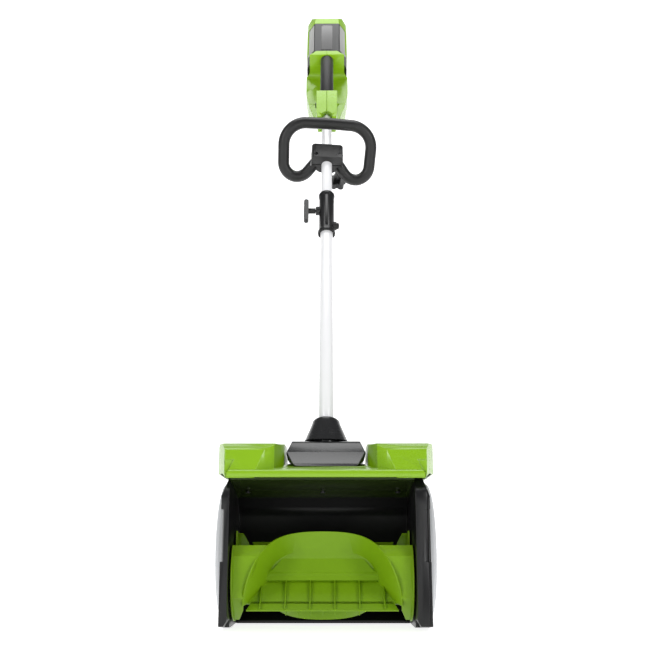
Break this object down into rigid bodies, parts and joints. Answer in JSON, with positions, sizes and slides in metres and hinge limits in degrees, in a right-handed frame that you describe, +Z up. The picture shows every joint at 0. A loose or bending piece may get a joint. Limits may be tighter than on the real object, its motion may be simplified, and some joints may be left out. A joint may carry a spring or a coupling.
{
  "type": "cordless snow shovel",
  "caption": "Battery snow shovel: hooded rotor head on two wheels, leaning split shaft, loop handle and rear grip with battery.",
  "frame": {"origin": "on the ground, on the middle plane, under the middle of the scraper's flat bottom face", "axes": "+X to the object's right as seen from the mouth, +Y from the mouth to the back, +Z up"},
  "size_m": [0.356, 0.6308, 1.3626],
  "materials": {
    "hood_green": "moulded green plastic, satin gloss",
    "rotor_green": "moulded green plastic, smooth",
    "shell_black": "fine-textured black moulding",
    "ceiling_gloss": "polished dark moulding",
    "cover_black": "satin black moulding",
    "tube_white": "gloss white powder coat",
    "loop_black": "soft black grip",
    "grip_black": "soft overmould",
    "wheel_grey": "light grey moulding",
    "battery_grey": "dark grey moulding",
    "belt_rubber": "ribbed rubber belt",
    "steel": "zinc-plated steel",
    "dark_steel": "black oxide",
    "motor_metal": "grey can",
    "board_green": "circuit board",
    "cell_wrap": "shrink wrap"
  },
  "bodies": {
    "head": {"hood_shell": "hood_green", "ceiling_panel": "ceiling_gloss", "ceiling_screws": "dark_steel", "scroll_guide": "shell_black", "rear_panel": "shell_black", "left_cheek": "shell_black", "right_cheek": "shell_black", "belt_cover": "shell_black", "belt_cover_screws": "dark_steel", "scraper_bar": "shell_black", "left_bearing": "steel", "right_bearing": "steel", "motor": "motor_metal", "motor_bracket": "steel", "drive_belt": "belt_rubber", "motor_cover": "cover_black", "motor_cover_screws": "dark_steel", "shaft_socket": "cover_black", "socket_bolt": "steel", "left_axle_bolt": "steel", "right_axle_bolt": "steel", "lower_tube": "tube_white"},
    "rotor_group": {"front_scoop": "rotor_green", "rear_scoop": "rotor_green", "rotor_ribs": "rotor_green", "rotor_skins": "rotor_green", "rotor_hub": "rotor_green", "left_rotor_disc": "rotor_green", "right_rotor_disc": "rotor_green", "rotor_shaft": "steel", "rotor_pulley": "cover_black"},
    "motor_spindle": {"motor_shaft": "steel", "motor_pulley": "steel"},
    "left_road_wheel": {"left_wheel": "wheel_grey"},
    "right_road_wheel": {"right_wheel": "wheel_grey"},
    "upper_shaft": {"coupler_sleeve": "shell_black", "sleeve_pin": "steel", "upper_tube": "tube_white", "left_housing": "hood_green", "right_housing": "hood_green", "housing_screws": "dark_steel", "grip": "grip_black", "terminal_block": "cover_black", "control_board": "board_green", "trigger_pin": "steel", "power_switch": "cover_black"},
    "coupler_screw": {"coupler_knob": "shell_black"},
    "release": {"release_button": "shell_black"},
    "loop_group": {"loop_handle": "loop_black", "clamp_cap": "loop_black", "clamp_screw": "dark_steel"},
    "loop_screw": {"clamp_knob": "shell_black"},
    "trigger_group": {"trigger": "shell_black"},
    "lock_group": {"lock_button": "shell_black"},
    "battery": {"battery_case": "battery_grey", "battery_cap": "hood_green", "battery_cells": "cell_wrap"},
    "latch_group": {"battery_latch": "cover_black"}
  },
  "joints": [
    {"name": "rotor_spin", "type": "hinge", "parent": "head", "child": "rotor_group", "pos_m": [0, -0.07, 0.076], "axis": [1, 0, 0], "continuous": true},
    {"name": "motor_spin", "type": "hinge", "parent": "head", "child": "motor_spindle", "pos_m": [0, 0.047, 0.196], "axis": [1, 0, 0], "continuous": true},
    {"name": "left_wheel_spin", "type": "hinge", "parent": "head", "child": "left_road_wheel", "pos_m": [-0.17, 0.043, 0.112], "axis": [1, 0, 0], "continuous": true},
    {"name": "right_wheel_spin", "type": "hinge", "parent": "head", "child": "right_road_wheel", "pos_m": [0.17, 0.043, 0.112], "axis": [1, 0, 0], "continuous": true},
    {"name": "shaft_split", "type": "slide", "parent": "head", "child": "upper_shaft", "axis": [0, 0.3746, 0.9272], "range_m": [0, 0.12]},
    {"name": "coupler_knob_turn", "type": "hinge", "parent": "upper_shaft", "child": "coupler_screw", "pos_m": [-0.03, 0.18769, 0.77927], "axis": [-1, 0, 0], "range_deg": [0, 540]},
    {"name": "release_press", "type": "slide", "parent": "upper_shaft", "child": "release", "axis": [-1, 0, 0], "range_m": [0, 0.0025], "stiffness_N_per_m": 800, "springref_m": -0.002},
    {"name": "loop_slide", "type": "slide", "parent": "upper_shaft", "child": "loop_group", "axis": [0, 0.3746, 0.9272], "range_m": [-0.004, 0.06]},
    {"name": "clamp_knob_turn", "type": "hinge", "parent": "loop_group", "child": "loop_screw", "pos_m": [0.02603, 0.25118, 0.90353], "axis": [-0.0872, 0.9237, -0.3732], "range_deg": [0, 540]},
    {"name": "trigger_pull", "type": "hinge", "parent": "upper_shaft", "child": "trigger_group", "pos_m": [0, 0.33737, 1.15775], "axis": [-1, 0, 0], "range_deg": [0, 10], "stiffness_Nm_per_rad": 0.6, "springref_deg": -17.19},
    {"name": "lock_press", "type": "slide", "parent": "upper_shaft", "child": "lock_group", "axis": [1, 0, 0], "range_m": [0, 0.0025], "stiffness_N_per_m": 600, "springref_m": -0.002},
    {"name": "battery_slide", "type": "slide", "parent": "upper_shaft", "child": "battery", "axis": [0, 0.3746, 0.9272], "range_m": [0, 0.12]},
    {"name": "latch_press", "type": "slide", "parent": "battery", "child": "latch_group", "axis": [0, -0.3746, -0.9272], "range_m": [0, 0.003], "stiffness_N_per_m": 600, "springref_m": -0.002}
  ],
  "couplings": [
    {"joint": "motor_spin", "follows": "rotor_spin", "ratio": 3}
  ]
}
